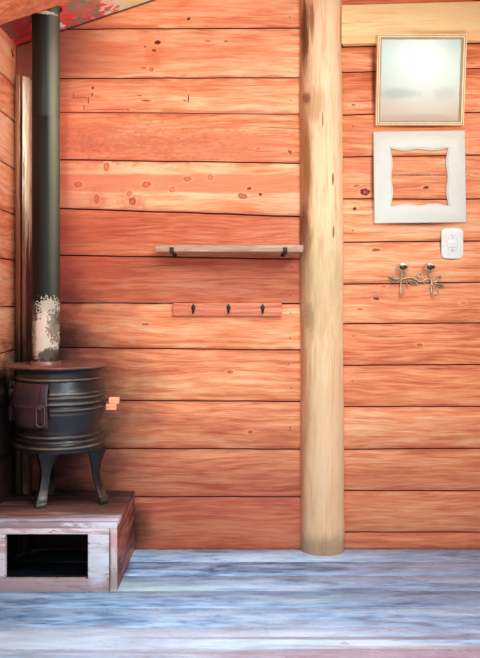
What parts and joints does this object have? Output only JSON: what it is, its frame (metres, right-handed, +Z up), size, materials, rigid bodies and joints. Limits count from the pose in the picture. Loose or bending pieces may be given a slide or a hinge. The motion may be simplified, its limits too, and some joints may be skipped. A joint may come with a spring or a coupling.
{
  "type": "hut end bay with wood stove",
  "caption": "Timber hut end bay: plank walls, log post, boarded floor and roof, hearth box and a round wood stove with hinged door and flue.",
  "frame": {"origin": "on the ground under the joists, at the middle of the whole width and depth", "axes": "+Z up; +Y towards the end wall, so the open side of the bay faces -Y; +X to the right seen from inside"},
  "size_m": [2.696, 1.098, 2.891],
  "materials": {
    "sill_timber": "rough sawn, dark stained",
    "washed_floor": "blue-grey wash, worn",
    "peeled_log": "peeled, dry, with bark streaks",
    "split_log": "weathered grey",
    "wall_timber": "planed, orange stain",
    "side_timber": "planed, orange stain",
    "sawn_beam": "sawn, clear oil",
    "ceiling_timber": "planed, orange stain",
    "rafter_timber": "sawn",
    "painted_sheet": "flaking red and grey-green paint",
    "roof_steel": "dull galvanised grey",
    "hearth_top_wood": "dark, worn",
    "worn_paint": "worn white paint",
    "knotty_wood": "oiled, knotty",
    "cast_black": "black, matt",
    "rim_steel": "stove black, slight sheen",
    "plate_steel": "heat browned",
    "door_steel": "heat browned",
    "forged_iron": "forged, black",
    "flue_steel": "satin green-black",
    "grip_wood": "bare",
    "shelf_wood": "grey-brown, worn",
    "rail_wood": "worn stain",
    "switch_plastic": "white",
    "rack_metal": "dull pale metal",
    "pale_frame": "pale varnish",
    "print_paper": "pale print behind glass",
    "white_paint": "white paint"
  },
  "bodies": {
    "hut_bay": {"end_sill": "sill_timber", "side_sills": "sill_timber", "floor_joists": "sill_timber", "floor_boards": "washed_floor", "ridge_post": "peeled_log", "corner_posts": "split_log", "front_posts": "split_log", "left_bay_boards": "wall_timber", "right_bay_boards": "wall_timber", "tie_beam": "sawn_beam", "left_side_boards": "side_timber", "right_side_boards": "side_timber", "ceiling_boards": "ceiling_timber", "painted_sheet": "painted_sheet", "front_rafters": "rafter_timber", "purlins": "rafter_timber", "roof_sheet_left": "roof_steel", "roof_sheet_right": "roof_steel", "ridge_cap": "roof_steel", "hearth_top": "hearth_top_wood", "hearth_front": "worn_paint", "hearth_sides": "knotty_wood", "stove_legs": "cast_black", "lower_rim": "rim_steel", "upper_rim": "rim_steel", "stove_top": "plate_steel", "hinge_pin": "forged_iron", "side_handle_wire": "forged_iron", "side_handle_grips": "grip_wood", "flue_lower": "flue_steel", "flue_upper": "flue_steel", "flue_flashing": "roof_steel", "flue_cowl": "flue_steel", "shelf_board": "shelf_wood", "shelf_brackets": "forged_iron", "tool_rail": "rail_wood", "tool_hooks": "forged_iron", "switch_plate": "switch_plastic", "switch_rocker": "switch_plastic", "hook_rack": "rack_metal", "picture_frame": "pale_frame", "picture_panel": "print_paper", "white_frame": "white_paint"},
    "stove_door": {"door_leaf": "door_steel", "door_handle": "forged_iron"}
  },
  "joints": [
    {"name": "stove_door_hinge", "type": "hinge", "parent": "hut_bay", "child": "stove_door", "pos_m": [-1.14899, 0.19945, 0.715], "axis": [0, 0, -1], "range_deg": [0, 40]}
  ]
}
